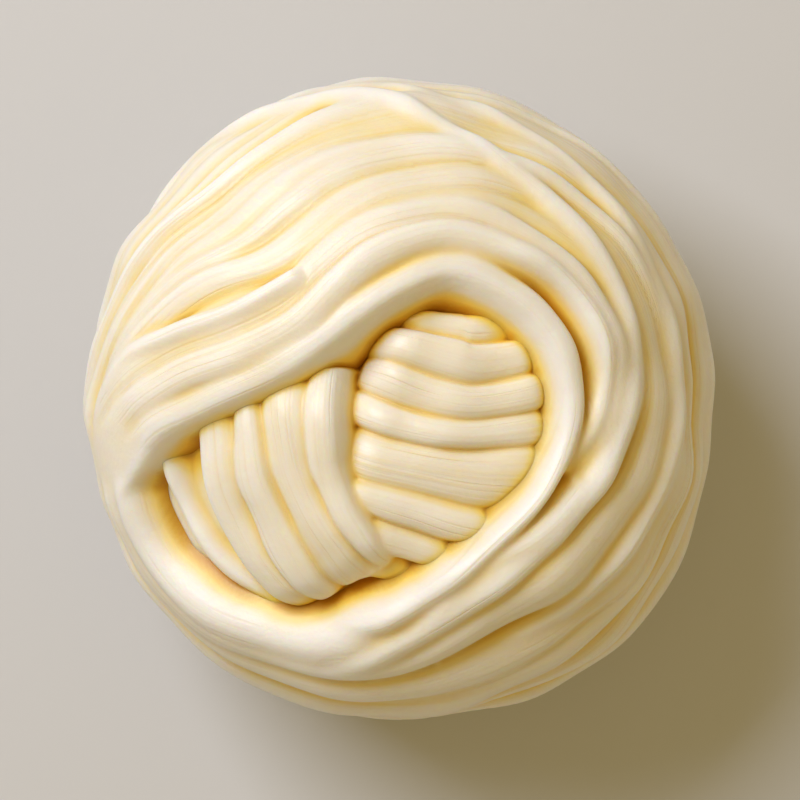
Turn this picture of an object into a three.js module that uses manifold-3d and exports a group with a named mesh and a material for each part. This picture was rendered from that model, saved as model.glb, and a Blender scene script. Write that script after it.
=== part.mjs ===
// A steamed bun wound from thin strands of dough like a ball of yarn.
// Millimetres, +Z up; the flat underside lies on z = 0 with its middle at the origin.
import * as THREE from "three";
import { mergeVertices } from "three/addons/utils/BufferGeometryUtils.js";
import Module from "manifold-3d";

const wasm = await Module();
wasm.setup();

// The ball that the outermost strands follow.
const width = 82;
const depth = 84;
const height = 61;
const waist = 27; // height of the widest level
const belly = 32; // reach below the waist, before the underside is pressed flat
const fullness = 2.2; // 2 is an ellipse, more is squarer

// The strands.
const strandDeep = 3; // how far the outer side of a band falls
const creaseDeep = 1.5; // crease between two strands of a band
const rootLevel = -12; // every band reaches this far into the ball
const coreLevel = -4.5; // plain dough under the bands
const windowLevel = -9.5; // the same at the crown, where the window looks in
const skirtLevel = -2.2; // the strands of the flanks
const ringStrands = 8;
const skirtStrands = 40;

const tolerance = 0.1; // edges shorter than this are left out where bands join

const centre = new THREE.Vector3(0, 0, waist);
const radians = THREE.MathUtils.degToRad;
const { clamp, smoothstep } = THREE.MathUtils;
const { cos, sin, acos, abs, sqrt, hypot, atan2, min, max, floor, exp, PI } = Math;

// A direction from its turn about +Z and its fall from the crown, in degrees.
function heading(turn, fall) {
  const [a, b] = [radians(turn), radians(fall)];
  return new THREE.Vector3(sin(b) * cos(a), sin(b) * sin(a), cos(b));
}

// A low swelling of the outline round one turn, 1 at its middle.
function swelling(direction, turn, spread) {
  const off = radians(turn) - atan2(direction.y, direction.x);
  const away = atan2(sin(off), cos(off)) / radians(spread);
  return exp(-away * away) * hypot(direction.x, direction.y);
}

// Distance from the centre to the ball's skin.
function skin(direction) {
  const flat = hypot(direction.x / (width / 2), direction.y / (depth / 2));
  const reach = direction.z > 0 ? height - waist : belly;
  const round = (flat ** fullness + abs(direction.z / reach) ** fullness) ** (-1 / fullness);
  return round + 1.6 * swelling(direction, -42, 24) + 0.7 * swelling(direction, 105, 22);
}

// The point in one direction, so many millimetres above the ball's skin.
function point(direction, level) {
  return direction.clone().multiplyScalar(skin(direction) + level).add(centre);
}

// The direction of a spot on the upper skin, from its place seen from above.
function spot(x, y) {
  const flat = hypot(x / (width / 2), y / (depth / 2));
  const rise = (height - waist) * (1 - min(flat, 0.999) ** fullness) ** (1 / fullness);
  return new THREE.Vector3(x, y, rise).normalize();
}

// A smooth route over the ball through these directions.
function through(directions) {
  const line = new THREE.CatmullRomCurve3(directions, false, "centripetal");
  return (t) => line.getPointAt(t).normalize();
}

// A smooth route through spots on the upper skin, given as seen from above. It may come up from
// the flank, through directions given before the spots.
function over(spots, flank = []) {
  return through([...flank, ...spots.map(([x, y]) => spot(x, y))]);
}

// A value that goes smoothly through equally spaced values, the last one followed by the first.
function cycle(values, share) {
  const line = new THREE.CatmullRomCurve3(
    values.map((value) => new THREE.Vector3(value, 0, 0)), true, "catmullrom", 0.5,
  );
  return line.getPoint(((share % 1) + 1) % 1).x;
}

// A solid through closed sections, its ends covered or joined to each other.
function loft(sections, looped) {
  const [rows, columns] = [sections.length, sections[0].length];
  const places = sections.flat().flatMap((p) => [p.x, p.y, p.z]);
  const faces = [];
  for (let row = 0; row < (looped ? rows : rows - 1); row++) {
    for (let column = 0; column < columns; column++) {
      const [next, beside] = [(row + 1) % rows, (column + 1) % columns];
      const [a, b] = [row * columns + column, row * columns + beside];
      const [c, d] = [next * columns + beside, next * columns + column];
      faces.push(a, b, c, a, c, d);
    }
  }
  if (!looped) {
    for (const row of [0, rows - 1]) {
      const middle = new THREE.Vector3();
      sections[row].forEach((p) => middle.addScaledVector(p, 1 / columns));
      const hub = places.push(middle.x, middle.y, middle.z) / 3 - 1;
      for (let column = 0; column < columns; column++) {
        const [a, b] = [row * columns + column, row * columns + ((column + 1) % columns)];
        faces.push(hub, ...(row === 0 ? [b, a] : [a, b]));
      }
    }
  }
  const geometry = new THREE.BufferGeometry();
  geometry.setAttribute("position", new THREE.Float32BufferAttribute(places, 3));
  geometry.setIndex(faces);
  return solid(geometry);
}

// A closed geometry as a solid that can be joined and cut. Its points that all but meet are merged.
function solid(geometry, apart = tolerance) {
  const plain = geometry.clone();
  plain.deleteAttribute("normal");
  plain.deleteAttribute("uv");
  const merged = mergeVertices(plain, 1e-3);
  const vertProperties = new Float32Array(merged.attributes.position.array);
  const triVerts = new Uint32Array(merged.index.array);
  return new wasm.Manifold(
    new wasm.Mesh({ numProp: 3, vertProperties, triVerts, tolerance: apart }),
  );
}

// The shares of a band's width where its strands meet, for so many even strands.
function evenly(strands) {
  return Array.from({ length: strands + 1 }, (_, i) => i / strands);
}

// Levels across a band: round strands side by side, with a crease where they meet.
function across(edges, points, level, crease = creaseDeep, sides = [strandDeep, strandDeep]) {
  const levels = [];
  const last = (edges.length - 1) * points;
  for (let i = 0; i <= last; i++) {
    const [strand, inside] = [min(floor(i / points), edges.length - 2), (i % points) / points];
    const share = i === last ? 1 : edges[strand] + (edges[strand + 1] - edges[strand]) * inside;
    const crest = sqrt(1 - (2 * inside - 1) ** 2);
    const deep = i === 0 ? sides[0] : i === last ? sides[1] : crease;
    levels.push({ share, level: level - deep * (1 - crest) });
  }
  return levels;
}

// A band of strands laid side by side along a route, sunk deep into the ball. Its level may lean
// from one side to the other. Up to some share of the way, different for either side, it is grown
// together with what is beside it, and that side is shallow.
function band({
  route, strands = 1, edges = evenly(strands), wide, level, steps, points = 4,
  crease = creaseDeep, lean = 0, grown = [0, 0],
}) {
  const sections = [];
  for (let i = 0; i <= steps; i++) {
    const t = i / steps;
    const middle = route(t);
    const ahead = route(min(t + 0.01, 1)).sub(route(max(t - 0.01, 0)));
    const side = new THREE.Vector3().crossVectors(ahead, middle).normalize();
    const place = (share, up) => {
      const off = ((share - 0.5) * wide(t)) / (width / 2);
      const turned = middle.clone().multiplyScalar(cos(off)).addScaledVector(side, sin(off));
      return point(turned, up);
    };
    const sides = grown.map((until) => strandDeep * (t < until ? 0.25 : 1));
    const section = across(edges, points, level(t), crease, sides)
      .map(({ share, level: up }) => place(share, up + lean * (share - 0.5)));
    for (const share of [1, 0.5, 0]) {
      section.push(place(share, rootLevel));
    }
    sections.push(section);
  }
  return loft(sections, false);
}

// Strands side by side are never alike: their places across the ring and their heights change
// smoothly along it. Both changes are nothing at the sides of the ring.
function uneven(share, turn) {
  const [a, free] = [radians(turn), 4 * share * (1 - share)];
  return {
    place: share + free * (0.03 * sin(9 * share + 2 * a) + 0.015 * sin(17 * share - 3 * a + 1)),
    lift: free * (0.35 * sin(21 * share + a) + 0.25 * sin(33 * share - 2 * a)),
  };
}

// How deep the crease before a strand of the ring is, as a share of the full depth: shallow at
// the front left and in the wide smooth band at the back.
function firmness(strand, turn) {
  const a = radians(turn);
  const wave = 0.35 * sin(2.1 * strand + 2 * a) + 0.15 * sin(5.3 * strand - 3 * a);
  const left = exp(-(((turn - 205) / 32) ** 2));
  const back = exp(-(((turn - 95) / 26) ** 2)) * exp(-(((strand - 1) / 1.5) ** 2));
  return clamp((0.8 + wave) * (1 - 0.55 * left) * (1 - 0.65 * back), 0.2, 1.2);
}

// How deep the extra crease is that parts a strand in two at the back left.
function parting(strand, turn) {
  const fan = exp(-(((turn - 140) / 42) ** 2));
  return strand < 6 ? fan * (0.75 + 0.35 * sin(4 * strand + 3 * radians(turn))) : 0;
}

// The ring of windings round the crown. How far its inner side is from the middle as seen from
// above, every 15 degrees of turn.
const ringInner = [
  27.5, 28.3, 28.5, 28, 26.5, 24.5, 22.5, 19.8, 17.5, 17.5, 22, 28.5,
  35.2, 37, 38.4, 37.2, 34.8, 31.8, 29, 24.8, 22.4, 22.4, 23.6, 26,
];

function innerFall(turn) {
  const far = cycle(ringInner, turn / 360);
  return THREE.MathUtils.radToDeg(acos(spot(far * cos(radians(turn)), far * sin(radians(turn))).z));
}

// The outer side lies lower at the front than at the back.
function outerFall(turn) {
  return 104 + 0.25 * (innerFall(turn) - 50) - 9 * sin(radians(turn + 10));
}

function ring(steps) {
  const sections = [];
  for (let i = 0; i < steps; i++) {
    const turn = (360 * i) / steps;
    const [inner, outer] = [innerFall(turn), outerFall(turn)];
    const section = [];
    for (let quarter = 0; quarter <= 4 * ringStrands; quarter++) {
      const [share, strand] = [quarter / (4 * ringStrands), floor(quarter / 4)];
      const side = share === 0 || share === 1;
      const deep = [
        side ? strandDeep : creaseDeep * firmness(strand, turn),
        0.13 * creaseDeep,
        parting(strand, turn),
        0.13 * creaseDeep,
      ][quarter % 4];
      const { place, lift } = uneven(share, turn);
      section.push(point(heading(turn, inner + (outer - inner) * place), lift - deep));
    }
    for (const share of [1, 0.66, 0.33, 0]) {
      section.push(point(heading(turn, inner + (outer - inner) * share), rootLevel));
    }
    sections.push(section);
  }
  return loft(sections, true);
}

// The earlier windings on the flanks, which run aslant from under the ring to below the foot.
function skirt(rows) {
  const [top, bottom] = [84, 166];
  const slant = (share, fall) => heading(360 * share + 0.8 * (fall - top), fall);
  const sections = across(evenly(skirtStrands), 3, skirtLevel).slice(1).map(({ share, level }) => {
    const crest = share === 1 ? skirtLevel - creaseDeep : level;
    const section = [];
    for (let row = 0; row <= rows; row++) {
      section.push(point(slant(share, top + ((bottom - top) * row) / rows), crest));
    }
    for (const fall of [bottom, (top + bottom) / 2, top]) {
      section.push(point(slant(share, fall), rootLevel));
    }
    return section;
  });
  return loft(sections, true);
}

// The plain dough inside, deeper under the crown.
function core(steps) {
  const ball = new THREE.SphereGeometry(1, steps, steps / 2).rotateX(PI / 2);
  const places = ball.attributes.position;
  const direction = new THREE.Vector3();
  for (let i = 0; i < places.count; i++) {
    direction.fromBufferAttribute(places, i).normalize();
    const [crown, sole] = [max(direction.z, 0) ** 2, max(-direction.z, 0) ** 4];
    const level = coreLevel * (1 - sole) + (windowLevel - coreLevel) * crown;
    const at = point(direction, level);
    places.setXYZ(i, at.x, at.y, at.z);
  }
  return solid(ball);
}

// A height that stays level and sinks at the start and the end of a route.
function dives(level, sink, startShare, endShare) {
  return (t) => {
    const start = startShare > 0 ? max(1 - t / startShare, 0) : 0;
    const end = endShare > 0 ? max(1 - (1 - t) / endShare, 0) : 0;
    return level - sink * (start * start + end * end);
  };
}

const parts = [
  core(20),
  ring(37),
  skirt(5),
  // Strands that cross under the window, from left to right, lower towards the back.
  band({
    route: over([[-9, -1.6], [-5, -3], [-1, -4.4], [4, -5.9], [10, -6.4], [17, -5.4], [25, -3.4]]),
    edges: [0, 0.12, 0.255, 0.385, 0.5, 0.66, 0.77, 0.88, 1], wide: (t) => 48 + 3 * sin(PI * t),
    level: dives(-3.4, 3.4, 0.22, 0.15), lean: 0.4, steps: 6, points: 3, crease: 1.6,
  }),
  // Strands that lie over them on the left and curve down to the right.
  band({
    route: over([[-19, 4.5], [-18.6, -4], [-17.8, -11], [-15.2, -17.5], [-11.6, -22.8], [-8.2, -27.4]]),
    edges: [0, 0.225, 0.52, 0.72, 1], wide: (t) => 26.5 - 7 * t * t,
    level: dives(-1.9, 2.6, 0.25, 0.35), lean: -1, steps: 8, points: 3, crease: 1.1,
  }),
  // A thinner strand beside them, deeper in the window.
  band({
    route: over([[-33.6, -1], [-33.4, -8.6], [-31.8, -15.4], [-28, -22], [-23, -27], [-17.4, -30.8]]),
    wide: () => 4, level: (t) => -2.9 - t, steps: 7,
  }),
  // The inner loop, one strand, out of the left of the ring, over the window and down its right
  // side to the front of the ring.
  band({
    route: over([
      [-40.6, -12], [-39.2, -8.4], [-36, -5.4], [-30.8, -2.8], [-25.2, -0.2], [-16.2, 3.8],
      [-10, 7.6], [-5.4, 11], [0, 14.6], [6.2, 16.9], [12, 15.5], [17.5, 12], [21.2, 6.8],
      [22.6, 0.8], [21.8, -5], [18.8, -11], [13.8, -16.8], [8, -22.4], [1.6, -27.2],
      [-4.6, -30], [-9.8, -31.4], [-15, -31.8],
    ]),
    wide: (t) => 5.2 - 0.7 * smoothstep(t, 0.24, 0.34) + 1.1 * smoothstep(t, 0.43, 0.53)
      - 2.4 * smoothstep(t, 0.58, 0.73) + 1.2 * smoothstep(t, 0.77, 0.85),
    level: dives(0.4, 3.4, 0.14, 0.14), steps: 34, points: 5, grown: [0.51, 0.12],
  }),
  // The outer loop, two strands grown together, beside the inner one on the left and narrower
  // where it leaves it and sinks at the right.
  band({
    route: over([
      [-39.6, -13], [-39, -7], [-36, -0.6], [-28.8, 4.8], [-20.8, 7.8], [-14, 11.2],
      [-9, 15.8], [-4.6, 19.2], [1, 21.4], [5.5, 22.4], [10.5, 21.8], [15.8, 19.6], [20.2, 16.8],
      [23.6, 13.2], [26, 8.8], [27.2, 4], [26.8, -0.8], [25, -5.6], [22, -10],
    ]),
    strands: 2, wide: (t) => 9 - 1.4 * smoothstep(t, 0.5, 0.58) - 2.4 * smoothstep(t, 0.62, 0.8),
    level: dives(0.8, 2.4, 0.2, 0.2), steps: 26, points: 3, crease: 0.5, grown: [0.9, 0.7],
  }),
  // A single strand over its left part, its blunt tip lying free.
  band({
    route: over([[-39.4, -6], [-38.6, 0], [-35.2, 5.4], [-29, 8.2], [-20.5, 11.2], [-11.4, 16]]),
    wide: (t) => 4.4 * sqrt(1 - max((t - 0.94) / 0.06, 0) ** 2 * 0.75),
    level: dives(1.3, 2.6, 0.4, 0.05), steps: 12,
  }),
  // The last winding, one strand aslant up the back and round outside both loops.
  band({
    route: over([
      [-3, 38.7], [3.5, 36.2], [8.5, 33.5], [13.5, 30.2], [18.3, 26.6], [22.8, 22.2],
      [26.6, 16.8], [29.2, 10.4], [29.9, 4], [28.8, -2.8], [25.5, -9.8], [20.6, -15.6],
      [14.7, -21.2], [7.6, -27], [0, -31.8], [-7, -34.6], [-13.5, -35], [-20, -32.6],
    ], [heading(162, 102), heading(144, 93), heading(126, 83), heading(110, 75.5)]),
    wide: () => 5, level: dives(0.5, 2.4, 0.16, 0.1), steps: 43,
  }),
  // The strand before it, which crosses under it at the back.
  band({
    route: over([
      [5, 39.5], [11, 37.8], [17.3, 34.4], [23, 29.9], [28, 24.4], [32, 18], [34.9, 11],
      [36.1, 3.6], [35.6, -4], [33, -11.8], [28, -19.4], [21.6, -26], [14, -31.6], [5, -35],
    ], [heading(131, 98), heading(115, 88.5), heading(100, 80.5)]),
    wide: () => 4.6, level: dives(0.3, 2.4, 0.2, 0.3), steps: 29,
  }),
];

// Bands over the skirt, which come out from under the ring the other way.
for (const [turn, level, strands] of [[25, -0.7, 5], [118, -0.5, 6], [196, -0.9, 5], [292, -0.6, 6]]) {
  const route = through([
    heading(turn, 86), heading(turn - 18, 104), heading(turn - 40, 124), heading(turn - 80, 158),
  ]);
  parts.push(band({
    route, strands, wide: (t) => (4.1 - t) * strands, level: dives(level, 4, 0.35, 0), steps: 8,
    points: 3,
  }));
}

// The largest of the separate bodies of a solid, without the scraps that cutting leaves.
function largest(whole) {
  return whole.decompose().reduce((best, body) => (body.volume() > best.volume() ? body : best));
}

// A solid's faces as a geometry.
function facesOf(body) {
  const mesh = body.getMesh();
  const faces = new THREE.BufferGeometry();
  faces.setAttribute("position", new THREE.BufferAttribute(mesh.vertProperties, 3));
  return faces.setIndex(new THREE.BufferAttribute(mesh.triVerts, 1));
}

// One piece of dough, pressed flat where it rests. What hangs on by a single point once near
// points are merged, or is shut in, is left out.
const underside = new THREE.BoxGeometry(200, 200, 60).translate(0, 0, -30);
const joined = largest(parts.reduce((sum, piece) => sum.add(piece)).subtract(solid(underside)));
const dough = largest(solid(facesOf(largest(solid(facesOf(joined)))), 0));
const geometry = facesOf(dough);
geometry.computeVertexNormals();

const bun = new THREE.Mesh(geometry, new THREE.MeshStandardMaterial({ color: 0xf3e6c4, roughness: 0.6 }));
bun.name = "bun";

const group = new THREE.Group();
group.name = "steamed_bun";
group.add(bun);

export default group;
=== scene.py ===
import math
from types import SimpleNamespace

import bpy
import numpy as np
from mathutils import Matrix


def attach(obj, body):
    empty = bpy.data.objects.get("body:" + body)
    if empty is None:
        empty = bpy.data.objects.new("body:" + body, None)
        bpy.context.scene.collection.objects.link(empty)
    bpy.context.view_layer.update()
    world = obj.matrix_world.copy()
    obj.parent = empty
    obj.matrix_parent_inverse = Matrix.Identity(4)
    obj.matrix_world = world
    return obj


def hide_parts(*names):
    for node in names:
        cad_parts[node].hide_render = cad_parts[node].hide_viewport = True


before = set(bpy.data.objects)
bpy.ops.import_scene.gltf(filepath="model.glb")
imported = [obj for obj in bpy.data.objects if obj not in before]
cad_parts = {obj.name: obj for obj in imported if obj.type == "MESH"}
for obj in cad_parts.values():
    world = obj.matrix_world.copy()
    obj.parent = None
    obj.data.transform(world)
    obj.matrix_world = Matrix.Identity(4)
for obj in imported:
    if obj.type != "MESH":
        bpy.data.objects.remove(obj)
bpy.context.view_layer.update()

scene = bpy.context.scene
scene.view_settings.view_transform = "Standard"
scene.view_settings.look = "None"


# ---- The camera, straight above the bun with its back edge at the top of the picture ----

camera = bpy.data.objects.new("camera", bpy.data.cameras.new("camera"))
camera.data.lens = 250
camera.data.sensor_width = 36
camera.location = (0.0, 0.0, 0.76)
camera.rotation_euler = (0.0, 0.0, 0.0)
camera.data.clip_start = 0.01
camera.data.clip_end = 10
scene.collection.objects.link(camera)
scene.camera = camera


# ---- The bun: soft wheat dough pulled into thin strands, wound up like a ball of yarn ----
# The strands were laid side by side in bands, one band over another, and steamed. They swelled
# into one another, so the skin is one surface: a level over a plump ball for each direction.
# The crown with its ring is one mesh, and the strands seen in the window under its loops another.

# Millimetres. The waist is the height of the widest place, and the belly is how far below it the
# ball would reach if it didn't stand on anything. The fullness is the power of its outline.
WIDTH, DEPTH, HEIGHT = 82.0, 84.0, 61.0
WAIST, BELLY, FULLNESS = 27.0, 32.0, 2.2
MID_RADIUS = WIDTH / 2                       # what an angle across a band is measured on
STRAND_DEEP, CREASE_DEEP = 3.0, 1.5
RING_STRANDS = 8
SIDE_POWER = 2.7                             # how square a band's two sides are
SIDE_SLOPE, END_SLOPE = 1.8, 3.0             # how steeply it falls away past its sides and ends
FILLET, GROWN_FILLET, ROOT_FILLET = 0.4, 0.5, 2.2
# Levels over the ball's skin: of the plain dough at the waist and deep in the window, of what
# lies under the crown's windings, of what is tucked in below them, and of their swollen start.
CORE_LEVEL, WINDOW_LEVEL = -4.5, -9.5
UNDER_LEVEL, TUCKED_LEVEL, SWELLED_LEVEL = -13.0, -8.0, -1.2
OVERLAP = 3.4                                # degrees that the crown goes on below the ring
# What is added to the place across for each strand and each band, so that no two have the same
# streaks.
STRAND_STEP, BAND_STEP = 7.3, 100


def heading(turn, fall):
    """Unit vectors from the turn about +Z and the fall from the crown, in degrees: the sine of
    the fall shared out over x and y by the turn, and its cosine for z."""
    a, b = np.radians(turn), np.radians(fall)
    return np.stack([np.sin(b) * np.cos(a), np.sin(b) * np.sin(a), np.cos(b)], -1)


def swelling(d, turn, spread):
    """A bell over the angle from one turn, e to the minus square of that angle over its spread,
    times the distance from the axis."""
    off = np.radians(turn) - np.arctan2(d[..., 1], d[..., 0])
    away = np.arctan2(np.sin(off), np.cos(off)) / math.radians(spread)
    return np.exp(-away**2) * np.hypot(d[..., 0], d[..., 1])


def skin(d):
    """Distance from the middle to the ball's skin: a superellipsoid, where the shares of the
    reach across and of the reach up or down, each to the power of the fullness, add up to one,
    with two low swellings."""
    flat = np.hypot(d[..., 0] / (WIDTH / 2), d[..., 1] / (DEPTH / 2))
    reach = np.where(d[..., 2] > 0, HEIGHT - WAIST, BELLY)
    ball = (flat**FULLNESS + np.abs(d[..., 2] / reach) ** FULLNESS) ** (-1 / FULLNESS)
    return ball + 1.6 * swelling(d, -42, 24) + 0.7 * swelling(d, 105, 22)


def spot(x, y):
    """Unit vectors to the spots of the upper skin that lie at x, y as seen from above. The rise
    there is what the superellipsoid leaves of its height."""
    x, y = np.broadcast_arrays(np.asarray(x, float), np.asarray(y, float))
    flat = np.hypot(x / (WIDTH / 2), y / (DEPTH / 2))
    rise = (HEIGHT - WAIST) * (1 - np.minimum(flat, 0.999) ** FULLNESS) ** (1 / FULLNESS)
    d = np.stack([x, y, rise], -1)
    return d / np.linalg.norm(d, axis=-1, keepdims=True)


def ripple(p, size, seed):
    """Smooth random relief of about unit height: a sum of sine waves through space, each in a
    seeded random direction with a wavelength near size (mm)."""
    waves = 28
    draw = np.random.default_rng(seed)
    way = draw.normal(size=(waves, 3))
    way /= np.linalg.norm(way, axis=1, keepdims=True)
    way *= 2 * np.pi / (size * draw.uniform(0.7, 1.4, (waves, 1)))
    phase = draw.uniform(0, 2 * np.pi, waves)
    return np.sin(p @ way.T + phase).sum(-1) * math.sqrt(2 / waves)


def ease(x, low, high):
    """0 below low, 1 above high, and between them a smooth step: three squares of the share of
    the way less two of its cubes."""
    s = np.clip((x - low) / (high - low), 0, 1)
    return s * s * (3 - 2 * s)


def cycle(values, share):
    """A Catmull-Rom curve through equally spaced values, the last followed by the first."""
    at = (share % 1) * len(values)
    i = np.floor(at).astype(int)
    s = at - i
    a, b, c, d = (values[(i + n) % len(values)] for n in (-1, 0, 1, 2))
    return b + 0.5 * s * (c - a + s * (2 * a - 5 * b + 4 * c - d + s * (3 * (b - c) + d - a)))


def route(points):
    """A centripetal Catmull-Rom curve through unit vectors, its knots the square root of a step
    apart, as 300 unit vectors equally far apart along it."""
    p = np.vstack([2 * points[0] - points[1], points, 2 * points[-1] - points[-2]])
    k = np.append(0, np.cumsum(np.linalg.norm(np.diff(p, axis=0), axis=1) ** 0.5))
    t = np.linspace(k[1], k[-2], 2000)
    i = np.clip(np.searchsorted(k, t, "right") - 1, 1, len(points) - 1)

    def mix(a, b, i, j):
        share = ((t - k[i]) / (k[j] - k[i]))[:, None]
        return a * (1 - share) + b * share

    first, mid, last = (mix(p[i + n - 1], p[i + n], i + n - 1, i + n) for n in (0, 1, 2))
    line = mix(mix(first, mid, i - 1, i + 1), mix(mid, last, i, i + 2), i, i + 1)
    far = np.append(0, np.cumsum(np.linalg.norm(np.diff(line, axis=0), axis=1)))
    even = np.linspace(0, far[-1], 300)
    line = np.stack([np.interp(even, far, line[:, n]) for n in range(3)], -1)
    return line / np.linalg.norm(line, axis=1, keepdims=True)


def beside(path, d):
    """Where each direction lies by a route: its share of the way along, how far it is to the
    side, and how far it is past either end (mm). All three are angles from the route's nearest
    point times the mid radius. Beside a bend the way along is longer or shorter by the bend
    times how far out it is."""
    ahead = np.gradient(path, axis=0)
    ahead /= np.linalg.norm(ahead, axis=1, keepdims=True)
    side = np.cross(ahead, path)
    side /= np.linalg.norm(side, axis=1, keepdims=True)
    length = np.arccos(np.clip((path[1:] * path[:-1]).sum(1), -1, 1)).sum() * MID_RADIUS
    bend = (np.gradient(ahead, axis=0) * side).sum(1) * (len(path) - 1) / length
    near = np.argmax(d.astype(np.float32) @ path.T.astype(np.float32), axis=1)
    off = np.arcsin(np.clip((d * side[near]).sum(1), -1, 1)) * MID_RADIUS
    along = (d * ahead[near]).sum(1) * MID_RADIUS / np.maximum(1 - off * bend[near], 0.3)
    share = near / (len(path) - 1) + along / length
    past = np.maximum(np.maximum(-share, share - 1), 0) * length
    return np.clip(share, 0, 1), off, past


def crest(v):
    """Height across one strand, 1 on its middle and 0 at its sides, v = -1 and 1: one less v to
    the power 2.3, and that to the power 0.62, which is a flattened arch with steep feet."""
    return (1 - np.minimum(np.abs(v), 1) ** 2.3) ** 0.62


def dives(level, sink, start, end):
    """A level that sinks, as a square, over these shares of the route at its two ends."""
    def at(t):
        first = np.maximum(1 - t / start, 0) if start else 0 * t
        last = np.maximum(1 - (1 - t) / end, 0) if end else 0 * t
        return level - sink * (first**2 + last**2)
    return at


def melt(ground, size, seed, low, high):
    """How deep creases are from place to place: between low and high by an S-curve of a ripple."""
    return low + (high - low) / (1 + np.exp(-1.6 * ripple(ground.on_skin, size, seed)))


def bare(turn, fall, level):
    """Ground for bands to be laid on: its directions, and its level over the ball's skin."""
    way = heading(turn, fall)
    on_skin = way * skin(way)[:, None]
    level = level(way) + 0.1 * ripple(on_skin, 8, 3)
    return SimpleNamespace(
        turn=turn, fall=fall, way=way, on_skin=on_skin, level=level, across=np.zeros_like(level),
    )


def plain_dough(d):
    """The level of the plain dough inside: deeper towards the crown, by the square of the rise,
    and up to the skin under the foot, by its fourth power."""
    up, down = np.maximum(d[:, 2], 0) ** 2, np.maximum(-d[:, 2], 0) ** 4
    return CORE_LEVEL * (1 - down) + (WINDOW_LEVEL - CORE_LEVEL) * up


def lay(ground, height, beside_mm, number, fillet=FILLET):
    """Lays a band over what is there: the level becomes the higher of the two. Where they are
    within a fillet (mm) of each other, the square of what is missing of it fills the corner, as
    the dough has swelled into it. The place across the topmost band is kept for its streaks."""
    on_top = height > ground.level
    meet = np.maximum(fillet - np.abs(height - ground.level), 0) ** 2 / (4 * fillet)
    ground.level = np.maximum(height, ground.level) + meet
    ground.across = np.where(on_top, beside_mm + BAND_STEP * number, ground.across)


def lay_band(ground, points, edges, wide, level_at, number, crease=CREASE_DEEP, lean=0.0,
             grown=(0, 0), rooted=(0, 0), sunk=(0, 0), round_end=False):
    """A band of strands along a route. Its height is its level less a drop: in a crease the
    crease's depth times one less the crest, at its two sides a power of the place across, and
    beyond them a slope.
    Wide and level_at give the width and level at each share of the way. Edges is a number of
    even strands, or the shares of the width where their edges lie. The number sets its random
    relief and its streaks, and lean is how much higher its right side is than its left one.
    Up to a share of the way, grown, for its left and right side, it has grown together with what
    is beside it, and that side is shallow. Over the shares rooted, at its two ends, it has grown
    into what it comes out of and goes into. Its first and last strands are sunk by so many mm.
    Past its ends it falls away, or is rounded like a finger's tip."""
    edges = np.linspace(0, 1, edges + 1) if np.ndim(edges) == 0 else np.array(edges)
    strands = len(edges) - 1
    t, off, past = beside(route(points), ground.way)
    width = wide(t)
    if round_end:
        off = np.sign(off) * np.hypot(off, past)
    share = off / width + 0.5
    # The strands sway a little to either side along the way, but not the band's own sides.
    free = np.clip(4 * share * (1 - share), 0, 1)
    share = share + free * 0.02 * (np.sin(9 * share + 5 * t + number) + np.sin(4 * t - 2 * number))
    strand = np.clip(np.searchsorted(edges, share, "right") - 1, 0, strands - 1)
    own_share = edges[strand + 1] - edges[strand]
    v = 2 * (share - edges[strand]) / own_share - 1
    at_side = ((strand == 0) & (v < 0)) | ((strand == strands - 1) & (v > 0))
    until = np.where(v < 0, grown[0], grown[1])
    fused = 1 - ease(t, until - 0.06, until + 0.06)
    side_drop = STRAND_DEEP * (1 - 0.75 * fused) * np.minimum(np.abs(v), 1) ** SIDE_POWER
    crease_drop = crease * melt(ground, 11, 20 + number, 0.6, 1.15) * (1 - crest(v))
    pitch = width * own_share
    drop = np.where(at_side, side_drop, crease_drop)
    drop += SIDE_SLOPE * pitch * np.maximum(np.abs(v) - 1, 0)
    height = level_at(t) - drop + lean * (np.clip(share, 0, 1) - 0.5)
    height += free * 0.35 * np.sin(2.6 * strand + 3 * t + number)
    height -= sunk[0] * (strand == 0) + sunk[1] * (strand == strands - 1)
    height += 0.2 * ripple(ground.on_skin, 12, 40 + number)
    if not round_end:
        height -= END_SLOPE * past
    # The fillet is wider where the band has grown together with what it lies on.
    fillet = FILLET + GROWN_FILLET * fused
    for end, far in zip(rooted, (t, 1 - t)):
        fillet = fillet + ROOT_FILLET * (1 - ease(far, 0.4 * end, end + 1e-6))
    lay(ground, height, v * pitch / 2 + STRAND_STEP * strand, number, fillet)


# How far the ring's inner side is from the middle as seen from above, every 15 degrees of turn.
RING_INNER = np.array([
    27.5, 28.3, 28.5, 28, 26.5, 24.5, 22.5, 19.8, 17.5, 17.5, 22, 28.5,
    35.2, 37, 38.4, 37.2, 34.8, 31.8, 29, 24.8, 22.4, 22.4, 23.6, 26,
])


def ring_sides(turn):
    """The fall of the ring's inner and outer side. The inner one is that of the spot at its
    distance from the middle. The outer one follows it by a quarter, and a sine of the turn sets
    it lower at the front."""
    a, far = np.radians(turn), cycle(RING_INNER, turn / 360)
    inner = np.degrees(np.arccos(spot(far * np.cos(a), far * np.sin(a))[:, 2]))
    return inner, 104 + 0.25 * (inner - 50) - 9 * np.sin(np.radians(turn + 10))


def uneven(share, turn):
    """How far a strand's place is moved across the ring, and how far it is raised: two sums of
    sines of the share and the turn, nothing at the ring's own sides."""
    a, free = np.radians(turn), np.clip(4 * share * (1 - share), 0, 1)
    move = free * (0.03 * np.sin(9 * share + 2 * a) + 0.015 * np.sin(17 * share - 3 * a + 1))
    lift = free * (0.35 * np.sin(21 * share + a) + 0.25 * np.sin(33 * share - 2 * a))
    return move, lift


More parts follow.
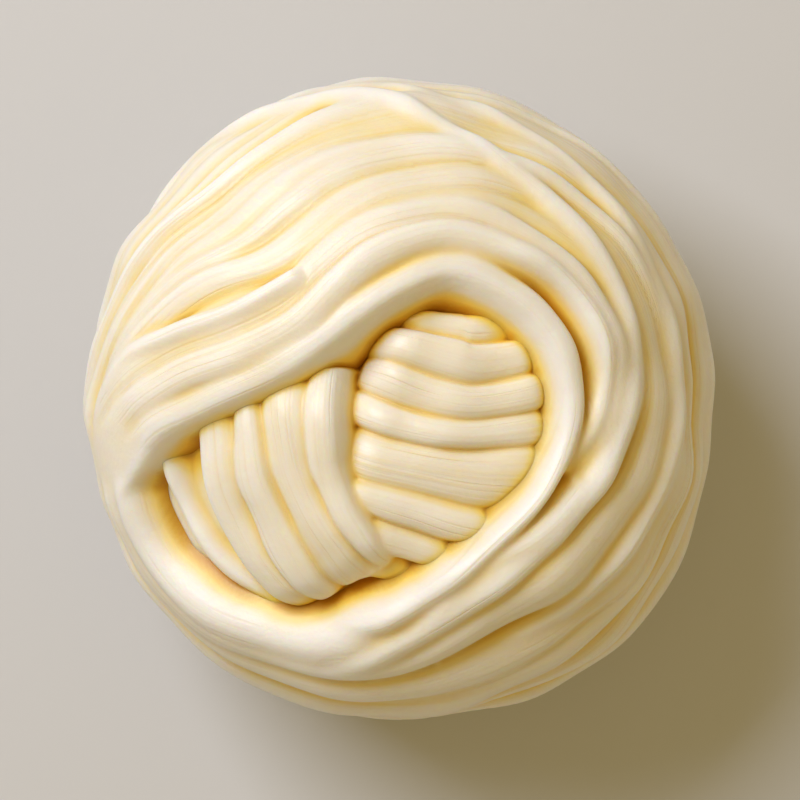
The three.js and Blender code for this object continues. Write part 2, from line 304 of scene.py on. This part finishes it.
def firmness(strand, turn):
    """How deep the crease before a strand of the ring is, as a share of the full depth: a sum of
    sines, made less by bells over the turn at the front left and in the wide smooth band at the
    back, and more by one at the front right."""
    a = np.radians(turn)
    wave = 0.35 * np.sin(2.1 * strand + 2 * a) + 0.15 * np.sin(5.3 * strand - 3 * a)
    left = np.exp(-(((turn - 205) / 32) ** 2))
    back = np.exp(-(((turn - 95) / 26) ** 2)) * np.exp(-(((strand - 1) / 1.5) ** 2))
    front = np.exp(-(((turn - 308) / 30) ** 2))
    return np.clip((0.8 + wave + 0.4 * front) * (1 - 0.55 * left) * (1 - 0.65 * back), 0.2, 1.3)


def lay_ring(ground):
    """The ring of windings round the crown: even strands between its sides, each moved and
    raised unevenly, with a crest's profile between creases of uneven depth."""
    inner, outer = ring_sides(ground.turn)
    a = np.radians(ground.turn)
    place = (ground.fall - inner) / (outer - inner)
    # The share whose place, once moved, is this one: a few rounds of guessing come close.
    share = place
    for _ in range(5):
        share = place - uneven(share, ground.turn)[0]
    pitch = np.radians(outer - inner) * MID_RADIUS / RING_STRANDS
    strand = np.clip(np.floor(share * RING_STRANDS), 0, RING_STRANDS - 1)
    v = 2 * (share * RING_STRANDS - strand) - 1
    crease = strand + (v > 0)
    soft = firmness(crease, ground.turn) * melt(ground, 17, 31, 0.8, 1.15)
    at_side = (crease == 0) | (crease == RING_STRANDS)
    side_drop = 0.45 * pitch * np.minimum(np.abs(v), 1) ** SIDE_POWER
    drop = np.where(at_side, side_drop, CREASE_DEEP * soft * (1 - crest(v)))
    drop += 1.2 * pitch * np.maximum(np.abs(v) - 1, 0)
    # An extra crease parts the strands in two at the back left.
    fan = np.exp(-(((ground.turn - 140) / 42) ** 2)) * (0.75 + 0.35 * np.sin(4 * strand + 3 * a))
    drop += np.where((strand < 6) & (np.abs(v) < 0.5), fan * (1 - crest(2 * np.abs(v) - 1)), 0)
    height = uneven(share, ground.turn)[1] - drop + 0.22 * ripple(ground.on_skin, 14, 32)
    lay(ground, height, v * pitch / 2 + STRAND_STEP * strand, 8)


def softened(values, rounds, looped=False):
    """The values of a grid spread over their neighbours, so many times: each becomes a quarter
    of the one before, half itself and a quarter of the one after, in both directions."""
    for _ in range(rounds):
        p = np.pad(values, ((1, 1), (0, 0)), mode="edge")
        values = 0.25 * p[:-2] + 0.5 * p[1:-1] + 0.25 * p[2:]
        p = np.pad(values, ((0, 0), (1, 1)), mode="wrap" if looped else "edge")
        values = 0.25 * p[:, :-2] + 0.5 * p[:, 1:-1] + 0.25 * p[:, 2:]
    return values


def halves(a, b, c, d, places):
    """Quads a, b, c, d as triangles, cut along the shorter diagonal."""
    one_way, other_way = (
        np.linalg.norm(places[m] - places[n], axis=-1) for m, n in ((a, c), (b, d))
    )
    pick = (one_way < other_way)[..., None]
    one = np.where(pick, np.stack([a, b, c], -1), np.stack([a, b, d], -1)).reshape(-1, 3)
    two = np.where(pick, np.stack([a, c, d], -1), np.stack([b, c, d], -1)).reshape(-1, 3)
    return np.concatenate([one, two])


def skinned(name, places, triangles, **attributes):
    """A smooth-shaded object from places (mm) and triangles, with values at its points."""
    mesh = bpy.data.meshes.new(name)
    mesh.vertices.add(len(places))
    mesh.vertices.foreach_set("co", (places / 1000).astype(np.float32).ravel())
    mesh.loops.add(triangles.size)
    mesh.loops.foreach_set("vertex_index", triangles.astype(np.int32).ravel())
    mesh.polygons.add(len(triangles))
    mesh.polygons.foreach_set("loop_start", np.arange(0, triangles.size, 3, dtype=np.int32))
    mesh.polygons.foreach_set("use_smooth", np.ones(len(triangles), bool))
    mesh.update(calc_edges=True)
    for key, values in attributes.items():
        held = mesh.attributes.new(key, "FLOAT", "POINT")
        held.data.foreach_set("value", values.astype(np.float32).ravel())
    mesh.validate()
    made = bpy.data.objects.new(name, mesh)
    scene.collection.objects.link(made)
    return made


def lay_inner(ground):
    """The strands seen down in the window."""
    # Strands that cross under the window, from left to right, lower towards the back.
    lay_band(
        ground, spot([-9, -5, -1, 4, 10, 17, 25], [-3, -4.4, -5.8, -7.1, -7.9, -7.2, -5.2]),
        [0, 0.12, 0.255, 0.385, 0.5, 0.69, 0.79, 0.885, 1],
        lambda t: 48 + 3 * np.sin(np.pi * t), dives(-3.4, 3.4, 0.22, 0.15), 6, crease=1.6, lean=0.4,
        sunk=(1.3, 1.2),
    )

    # Strands that lie over them on the left and curve down to the right.
    lay_band(
        ground, spot([-19, -18.6, -17.8, -15.2, -11.6, -8.2], [4.5, -4, -11, -17.5, -22.8, -27.4]),
        [0, 0.225, 0.52, 0.72, 1],
        lambda t: 26.5 - 5 * t * t, dives(-1.9, 2.4, 0.25, 0.16), 7, crease=1.4, lean=-1.0,
    )

    # Two thinner strands beside them, each deeper in the window than the one before.
    lay_band(
        ground,
        spot([-33.2, -33, -31.4, -27.6, -22.6, -17], [-1, -8.4, -15.2, -21.6, -26.6, -30.4]),
        1, lambda t: 4, lambda t: -3.5 - 0.8 * t, 14,
    )
    lay_band(
        ground, spot([-36.6, -36.4, -34.6, -31, -25.8, -20], [-3, -10, -17, -23.6, -29, -33]),
        1, lambda t: 6, lambda t: -4 - 0.4 * t, 15,
    )


def lay_outer(ground):
    """The ring, and the loops and last windings over it."""
    lay_ring(ground)

    # The inner loop, one strand, out of the left of the ring, over the window and down its right
    # side to the front of the ring.
    lay_band(
        ground,
        spot(
            [-38.2, -37.2, -35, -31.4, -25.8, -16.2, -10, -5.4, 0, 6.2, 12, 17.5, 21.2, 22.6, 21.8,
             18.8, 13.8, 8, 1.6, -4.6, -9.8, -15],
            [-14, -10.8, -7, -3.4, -0.6, 3.8, 7.6, 11, 14.6, 16.9, 15.5, 12, 6.8, 0.8, -5,
             -11, -16.8, -22.4, -27.2, -30, -31.4, -31.8],
        ),
        1,
        lambda t: 5.2 - 0.7 * ease(t, 0.24, 0.34) + 1.1 * ease(t, 0.43, 0.53)
        - 2.4 * ease(t, 0.58, 0.73) + 1.2 * ease(t, 0.77, 0.85),
        dives(0.4, 4.2, 0.13, 0.14), 9, grown=(0.51, 0.12), rooted=(0.16, 0.16),
    )

    # The outer loop, two strands grown together, narrower where it leaves the inner one and sinks.
    lay_band(
        ground,
        spot(
            [-40.4, -39.4, -35.9, -28.9, -20.8, -14, -9, -4.6, 1, 5.5, 10.5, 15.8, 20.2, 23.6, 26,
             27.2, 26.8, 25, 22],
            [-11, -5.2, 0.2, 4.9, 7.8, 11.2, 15.8, 19.2, 21.4, 22.4, 21.8, 19.6, 16.8, 13.2, 8.8, 4,
             -0.8, -5.6, -10],
        ),
        2, lambda t: 9 - 1.4 * ease(t, 0.5, 0.58) - 2.4 * ease(t, 0.62, 0.8),
        dives(0.8, 2.4, 0.2, 0.2), 10, crease=0.5, grown=(0.9, 0.7),
    )

    # A single strand over its left part, its blunt tip lying free.
    lay_band(
        ground, spot([-39.4, -38.6, -35.2, -29, -20.5, -11.4], [-6, 0, 5.4, 8.2, 11.2, 16]),
        1, lambda t: 4.4, dives(1.3, 2.6, 0.4, 0.05), 11, round_end=True,
    )

    # The strand before the last, from the back left over the back and down the right.
    lay_band(
        ground,
        np.vstack([
            heading(np.array([131, 115, 100.0]), np.array([98, 88.5, 80.5])),
            spot([5, 11, 17.3, 23, 28, 32, 34.9, 36.1, 35.6, 33, 28, 21.6, 14, 5],
                 [39.5, 37.8, 34.4, 29.9, 24.4, 18, 11, 3.6, -4, -11.8, -19.4, -26, -31.6, -35]),
        ]),
        1, lambda t: 4.6, dives(0.3, 2.4, 0.2, 0.3), 12,
    )

    # The last winding, one strand aslant up the back, over that one and round outside both loops.
    lay_band(
        ground,
        np.vstack([
            heading(np.array([162, 144, 126, 110.0]), np.array([102, 93, 83, 75.5])),
            spot([-3, 3.5, 8.5, 13.5, 18.3, 22.8, 26.6, 29.2, 29.9, 28.8, 25.5, 20.6, 14.7, 7.6, 0,
                  -7, -13.5, -20],
                 [38.7, 36.2, 33.5, 30.2, 26.6, 22.2, 16.8, 10.4, 4, -2.8, -9.8, -15.6, -21.2, -27,
                  -31.8, -34.6, -35, -32.6]),
        ]),
        1, lambda t: 5, dives(0.5, 2.4, 0.16, 0.1), 13,
    )


SIDE = 623                                   # points along the grid's side, two to a mesh point
INSIDE_REACH, INSIDE_DROP = 20, 5            # where a piece's hidden wall and floor are


def bent_grid(reach):
    """Turn and fall of a square grid bent over the dome, to some degrees below the ring. The
    square's lines become arcs of ellipses that fill a disc, each coordinate times the root of
    one less half the other's square, and the disc a cap of the sphere, finer in its middle."""
    even = np.linspace(-1, 1, SIDE)
    p, q = (values.ravel() for values in np.meshgrid(even, even))
    x, y = p * np.sqrt(1 - q * q / 2), q * np.sqrt(1 - p * p / 2)
    turn = np.degrees(np.arctan2(y, x)) % 360
    out = reach * np.minimum(np.hypot(x, y), 1)
    out = out * (0.7 + 0.3 * out**2)
    return turn, 2 * np.degrees(np.arcsin(out * np.sin(np.radians(ring_sides(turn)[1] / 2 + 2))))


def cap(name, level, lid, way, across, swelled):
    """A closed piece: its outside at this level over the skin, with a wall and a floor inside
    that nobody sees. The lid is the level of all there is, which colours are worked out from:
    how far it lies below its close surroundings, its wider and its widest ones, each of them the
    lid softened more and more."""
    mild, wide = softened(lid, 5), softened(lid, 75)
    # How much higher it is a little further back, which keeps the light from the window; it is
    # added to the hollow as painted shade.
    shelter = np.maximum(np.vstack([wide[14:], np.repeat(wide[-1:], 14, 0)]) - mild - 1, 0)
    # Crease, valley and hollow colour the dough as painted shade: the lower a place lies below its
    # surroundings, the yellower and darker it is painted.
    shape = {
        "crease": softened(np.clip((softened(lid, 7) - lid) / 0.22, -1, 2.2), 2),
        "valley": np.clip((wide - mild) / 0.9, -1, 2),
        "hollow": np.clip((softened(wide, 220) - mild) / 2.5 + 0.25 * shelter, -1, 2),
        "across": across,
        "swelled": swelled,
    }
    side = level.shape[0]
    outside = (way * (skin(way) + level)[..., None]).reshape(-1, 3) + [0, 0, WAIST]
    index = np.arange(side * side).reshape(side, side)
    rim = np.concatenate([index[0, :-1], index[:-1, -1], index[-1, :0:-1], index[:0:-1, 0]])
    inside = way.reshape(-1, 3)[rim] * INSIDE_REACH + [0, 0, WAIST]
    places = np.vstack([outside, inside, [[0, 0, WAIST - INSIDE_DROP]]])
    under = np.arange(len(rim)) + side * side
    after = np.roll(under, -1)
    triangles = np.concatenate([
        halves(index[:-1, :-1], index[:-1, 1:], index[1:, 1:], index[1:, :-1], places),
        halves(rim, under, after, np.roll(rim, -1), places),
        np.stack([under, np.full(len(rim), len(places) - 1), after], -1),
    ])
    spare = np.zeros(len(places) - side * side)
    return skinned(
        name, places, triangles,
        **{key: np.append(values.ravel(), spare) for key, values in shape.items()},
    )


# Steamed dough: cream white on the ridges, then painted shade with the yellow of light glowing
# through the dough:
# pale straw on the sides of the strands and a deep egg yellow down in the creases; moist, satin,
# and faintly drawn lengthwise.
dough = bpy.data.materials.new("steamed_dough")
dough.use_nodes = True
nodes, links = dough.node_tree.nodes, dough.node_tree.links
nodes.clear()


def node(kind, **sockets):
    """A new node of this kind, with its inputs set or linked by name, or by number as _0, _1."""
    made = nodes.new(kind)
    for name, value in sockets.items():
        numbered = name[0] == "_"
        socket = made.inputs[int(name[1:]) if numbered else name.replace("_", " ")]
        if isinstance(value, bpy.types.NodeSocket):
            links.new(value, socket)
        else:
            socket.default_value = value
    return made


def figure(operation, *values, clamp=False):
    """A math node's result."""
    made = node("ShaderNodeMath", **{f"_{n}": value for n, value in enumerate(values)})
    made.operation, made.use_clamp = operation, clamp
    return made.outputs[0]


def held_value(name):
    """One of the values held at the mesh's points."""
    made = nodes.new("ShaderNodeAttribute")
    made.attribute_name = name
    return made.outputs["Fac"]


def noise(vector, scale, detail=2.0, w=None):
    """Noise between 0 and 1 in space, or in four dimensions where w is given."""
    made = node("ShaderNodeTexNoise", Vector=vector, Scale=scale, Detail=detail)
    if w is not None:
        made.noise_dimensions = "4D"
        links.new(w, made.inputs["W"])
    return made.outputs["Fac"]


def shades(factor, *stops):
    """A colour ramp through (place, linear colour) stops: its two ends first, then the others."""
    made = node("ShaderNodeValToRGB", Fac=factor)
    ramp = made.color_ramp
    for n, (place, colour) in enumerate(stops):
        stop = ramp.elements[n] if n < 2 else ramp.elements.new(place)
        stop.position = place
        stop.color = (*colour, 1)
    return made.outputs["Color"]


def blend(kind, factor, first, second):
    """Two colours mixed."""
    made = nodes.new("ShaderNodeMix")
    made.data_type, made.blend_type = "RGBA", kind
    for socket, value in ((0, factor), (6, first), (7, second)):
        if isinstance(value, bpy.types.NodeSocket):
            links.new(value, made.inputs[socket])
        else:
            made.inputs[socket].default_value = value
    return made.outputs[2]


def ranged(value, low, high, **to):
    """A value that goes from 0 at low to 1 at high, or between other ends."""
    return node("ShaderNodeMapRange", Value=value, From_Min=low, From_Max=high, **to).outputs[0]


# Broad streaks and fine lines run along the strands, as they change fast with the place across.
where = nodes.new("ShaderNodeTexCoord").outputs["Object"]
across_strand = figure("MULTIPLY", held_value("across"), 0.055)
streak = noise(where, 28.0, 3.0, across_strand)
line = noise(where, 40.0, 1.0, across_strand)
mottle = noise(where, 160.0, 4.0)
pore = noise(where, 1500.0, 3.0)

# From a ridge, 0, down into a crease, 1: painted shade, yellow for the light glowing through the
# dough, with the dough's own streaks and mottle added. The streaks fade out in deep and swelled
# places.
pit = ranged(held_value("hollow"), 0.5, 1.5)
plain = figure("ADD", pit, held_value("swelled"))
drawn = ranged(plain, 0.0, 0.6, To_Min=1.0, To_Max=0.0)
streak = figure("MULTIPLY", figure("SUBTRACT", streak, 0.5), drawn)
down = figure("MULTIPLY_ADD", held_value("valley"), 0.22, 0.26)
down = figure("MULTIPLY_ADD", held_value("crease"), 0.18, down)
down = figure("MULTIPLY_ADD", streak, 0.35, down)
down = figure("MULTIPLY_ADD", figure("SUBTRACT", mottle, 0.5), 0.25, down)
down = figure("MULTIPLY_ADD", pit, 0.27, down, clamp=True)
# The ramp goes from the dough's own cream at 0 to painted shade: straw, then deep egg yellow in the
# creases and pits.
colour = shades(
    down,
    (0.0, (0.88, 0.85, 0.77)),
    (1.0, (0.93, 0.57, 0.05)),
    (0.26, (0.87, 0.79, 0.61)),
    (0.48, (0.88, 0.71, 0.31)),
    (0.72, (0.92, 0.66, 0.12)),
)
thread = figure("MULTIPLY", ranged(line, 0.60, 0.72), drawn)
colour = blend("MULTIPLY", figure("MULTIPLY", thread, 0.28), colour, (0.92, 0.78, 0.50, 1))
# The very bottom of a crease is painted shade: a thin line of golden brown.
crease_shade_line = ranged(held_value("crease"), 0.9, 1.9)
colour = blend("MULTIPLY", figure("MULTIPLY", crease_shade_line, 0.85), colour, (0.58, 0.40, 0.15, 1))

# A low relief of streaks, lines, pores and a soft unevenness.
relief = figure("MULTIPLY_ADD", streak, 0.6, figure("MULTIPLY", pore, 0.25))
relief = figure("MULTIPLY_ADD", thread, -0.25, relief)
relief = figure("MULTIPLY_ADD", noise(where, 420.0, 2.0), 0.5, relief)
bump = node("ShaderNodeBump", Strength=0.55, Distance=0.0004, Height=relief)

shader = node(
    "ShaderNodeBsdfPrincipled", Base_Color=colour, Normal=bump.outputs[0],
    Roughness=figure("MULTIPLY_ADD", mottle, 0.25, 0.36),
)
shader.subsurface_method = "RANDOM_WALK"
shader.inputs["Subsurface Weight"].default_value = 0.6
shader.inputs["Subsurface Radius"].default_value = (1.0, 0.68, 0.2)
shader.inputs["Subsurface Scale"].default_value = 0.0022
shader.inputs["IOR"].default_value = 1.40
shader.inputs["Coat Weight"].default_value = 0.25
shader.inputs["Coat Roughness"].default_value = 0.22
output = nodes.new("ShaderNodeOutputMaterial")
links.new(shader.outputs["BSDF"], output.inputs["Surface"])


def dress(piece):
    """Gives a piece of the bun its dough, and its place on the body in place of the solid."""
    piece.shadow_terminator_geometry_offset = 0.6
    piece.data.materials.append(dough)
    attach(piece, "root")
    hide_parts("bun")


# The crown with its ring, and under its loops the strands in the window. Each is worked out
# twice as fine as its mesh, then smoothed.
for name, reach, depth, lay_own, lay_other in (
    ("crown_windings", 1.0, lambda d: UNDER_LEVEL, lay_outer, lay_inner),
    ("window_windings", 0.74, plain_dough, lay_inner, lay_outer),
):
    turn, fall = bent_grid(reach)
    own, other = bare(turn, fall, depth), bare(turn, fall, plain_dough)
    lay_own(own)
    lay_other(other)
    tucked = fall > ring_sides(turn)[1] + OVERLAP
    level, lid = (
        softened(np.where(tucked, TUCKED_LEVEL, values).reshape(SIDE, SIDE), 8)[::2, ::2]
        for values in (own.level, np.maximum(own.level, other.level))
    )
    way = own.way.reshape(SIDE, SIDE, 3)[::2, ::2]
    # The loops have swelled into the ring where they come out of it, at the left, and the
    # drawn streaks are lost there and where the inner loop ends.
    x, y = (way[..., n] * (skin(way) + level) for n in (0, 1))
    start, tail = (
        np.exp(-(((x - at_x) ** 2 + (y - at_y) ** 2) / size**2) ** 2) * (lay_own is lay_outer)
        for at_x, at_y, size in ((-37.6, -7.2, 4.6), (-13.5, -30.6, 5))
    )
    level += start * (softened(np.maximum(level, SWELLED_LEVEL), 80) - level)
    lid += start * (softened(np.maximum(lid, SWELLED_LEVEL), 80) - lid)
    # They're lost too where one strand ends on another, as there they'd break off raggedly.
    across = own.across.reshape(SIDE, SIDE)
    broken = np.maximum(*(np.abs(step) > 2 for step in np.gradient(across)))
    broken = np.minimum(3 * softened(broken.astype(float), 10)[::2, ::2], 1)
    swelled = np.maximum(start + tail, broken)
    dress(cap(name, level, lid, way, across[::2, ::2], swelled))


# ---- The flanks and the foot, the same dough: the windings laid first, under the ring's edge ----
# Forty strands run aslant from under the ring to below the foot, and four bands laid over them
# the other way. The grid is rows from under the ring down to the middle of the underside.

COLUMNS = 600
TOP_FALL, FOOT_FALL = 84, 148
SKIRT_STRANDS, SKIRT_LEVEL = 40, -2.2
SLANT = 0.8                                  # degrees of turn for each degree of fall
FOOT_ROUND = 1.2                             # how near the floor its edge begins to round

turns = np.linspace(0, 360, COLUMNS, endpoint=False)
flank_falls, foot_falls = np.linspace(TOP_FALL, FOOT_FALL, 128), np.linspace(FOOT_FALL, 180, 22)
falls = np.concatenate([flank_falls, foot_falls[1:-1]])
turn, fall = (values.ravel() for values in np.meshgrid(turns, falls))
low = bare(turn, fall, plain_dough)

# The strands that run aslant all round: their places across are shares of the turn, and aslant
# they are about 0.8 as wide as along it.
share = ((turn - SLANT * (fall - TOP_FALL)) % 360) / 360
pitch = 360 / SKIRT_STRANDS * np.radians(1) * MID_RADIUS * np.sin(np.radians(fall)) * 0.8
strand = np.floor(share * SKIRT_STRANDS)
v = 2 * (share * SKIRT_STRANDS - strand) - 1
height = SKIRT_LEVEL - CREASE_DEEP * melt(low, 14, 11, 0.6, 1.1) * (1 - crest(v))
lay(low, height + 0.25 * ripple(low.on_skin, 16, 12), v * pitch / 2 + STRAND_STEP * strand, 1)

# The bands over them: where each starts, how high it lies and how many strands it has.
for number, (start, up, strands) in enumerate(
    [(25, -0.7, 5), (118, -0.5, 6), (196, -0.9, 5), (292, -0.6, 6)], 2
):
    points = heading(start - np.array([0, 18, 40, 80.0]), np.array([86, 104, 124, 158.0]))
    lay_band(low, points, strands, lambda t: (4.1 - t) * strands, dives(up, 4, 0.35, 0), number)

level = softened(low.level.reshape(-1, COLUMNS), 1, True)
wide_level = softened(level, 30, True)
# Close under the ring's edge it lies in the ring's shade, so it takes the colour of a crease there:
# painted shade.
shade_under_ring = np.exp(-np.maximum(fall - ring_sides(turn)[1] - 1, 0) / 3).reshape(-1, COLUMNS)
shape = {
    "crease": np.clip((softened(level, 5, True) - level) / 0.35 + 1.2 * shade_under_ring, -1, 2),
    "valley": np.clip((wide_level - level) / 0.9 + 0.8 * shade_under_ring, -1, 2),
    "hollow": np.clip((softened(wide_level, 90, True) - level) / 2.5 + 0.6 * shade_under_ring, -1, 2),
    "across": low.across,
    "swelled": 0 * low.across,
}

# The first row is sunk into the dough. The foot is pressed flat on z = 0: the reach is the lower
# of the dough's and the floor's, and where the two are nearly equal a rounded edge joins them.
reach = skin(low.way) + level.ravel() - 6 * (fall == TOP_FALL)
floor_reach = np.where(low.way[:, 2] < 0, WAIST / np.maximum(-low.way[:, 2], 1e-6), 1e6)
rounded = np.maximum(FOOT_ROUND - np.abs(reach - floor_reach), 0) ** 2 / (4 * FOOT_ROUND)
reach = np.minimum(reach, floor_reach) - rounded
places = low.way * reach[:, None] + [0, 0, WAIST]
places[:, 2] = np.maximum(places[:, 2], 0)
places = np.vstack([places, [[0, 0, WAIST], [0, 0, 0]]])
index = np.arange(len(falls) * COLUMNS).reshape(-1, COLUMNS)
next_index = np.roll(index, -1, axis=1)
triangles = np.concatenate([
    halves(index[:-1], index[1:], next_index[1:], next_index[:-1], places),
    np.stack([np.full(COLUMNS, len(places) - 2), index[0], next_index[0]], -1),
    np.stack([np.full(COLUMNS, len(places) - 1), next_index[-1], index[-1]], -1),
])
dress(skinned(
    "flank_windings", places, triangles,
    **{key: np.append(values.ravel(), [0, 0]) for key, values in shape.items()},
))


# ---- The floor: a plain pale board, seen only as the background ----
# It is three metres to either side, so that its edge shows from no angle.

floor_mesh = bpy.data.meshes.new("floor")
floor_mesh.from_pydata([(-3, -3, 0), (3, -3, 0), (3, 3, 0), (-3, 3, 0)], [], [(0, 1, 2, 3)])
floor = bpy.data.objects.new("floor", floor_mesh)
scene.collection.objects.link(floor)
pale = bpy.data.materials.new("pale_floor")
pale.use_nodes = True
pale.node_tree.nodes["Principled BSDF"].inputs["Base Color"].default_value = (0.62, 0.62, 0.61, 1)
pale.node_tree.nodes["Principled BSDF"].inputs["Roughness"].default_value = 0.8
floor_mesh.materials.append(pale)


# ---- Soft studio light: a broad cool window light from the back left, warm from elsewhere ----
# A weak warm light at the right and an even warm sky keep the shaded sides from going grey.

def softbox(name, place, size, power, colour):
    """A square area light at this place, aimed at the bun's middle."""
    light = bpy.data.lights.new(name, "AREA")
    light.size, light.energy, light.color = size, power, colour
    held = bpy.data.objects.new(name, light)
    held.location = place
    x, y, z = (0.0 - place[0], 0.0 - place[1], 0.03 - place[2])
    held.rotation_euler = (math.atan2(math.hypot(x, y), -z), 0.0, math.atan2(y, x) - math.pi / 2)
    scene.collection.objects.link(held)


softbox("key", (-0.46, 0.44, 0.70), 0.5, 8.1, (0.85, 0.88, 1.02))
softbox("fill", (0.6, -0.2, 0.7), 0.8, 0.6, (1.0, 0.79, 0.40))

sky = bpy.data.worlds.new("sky")
sky.use_nodes = True
sky.node_tree.nodes["Background"].inputs["Color"].default_value = (1.0, 0.78, 0.37, 1)
sky.node_tree.nodes["Background"].inputs["Strength"].default_value = 0.37
scene.world = sky
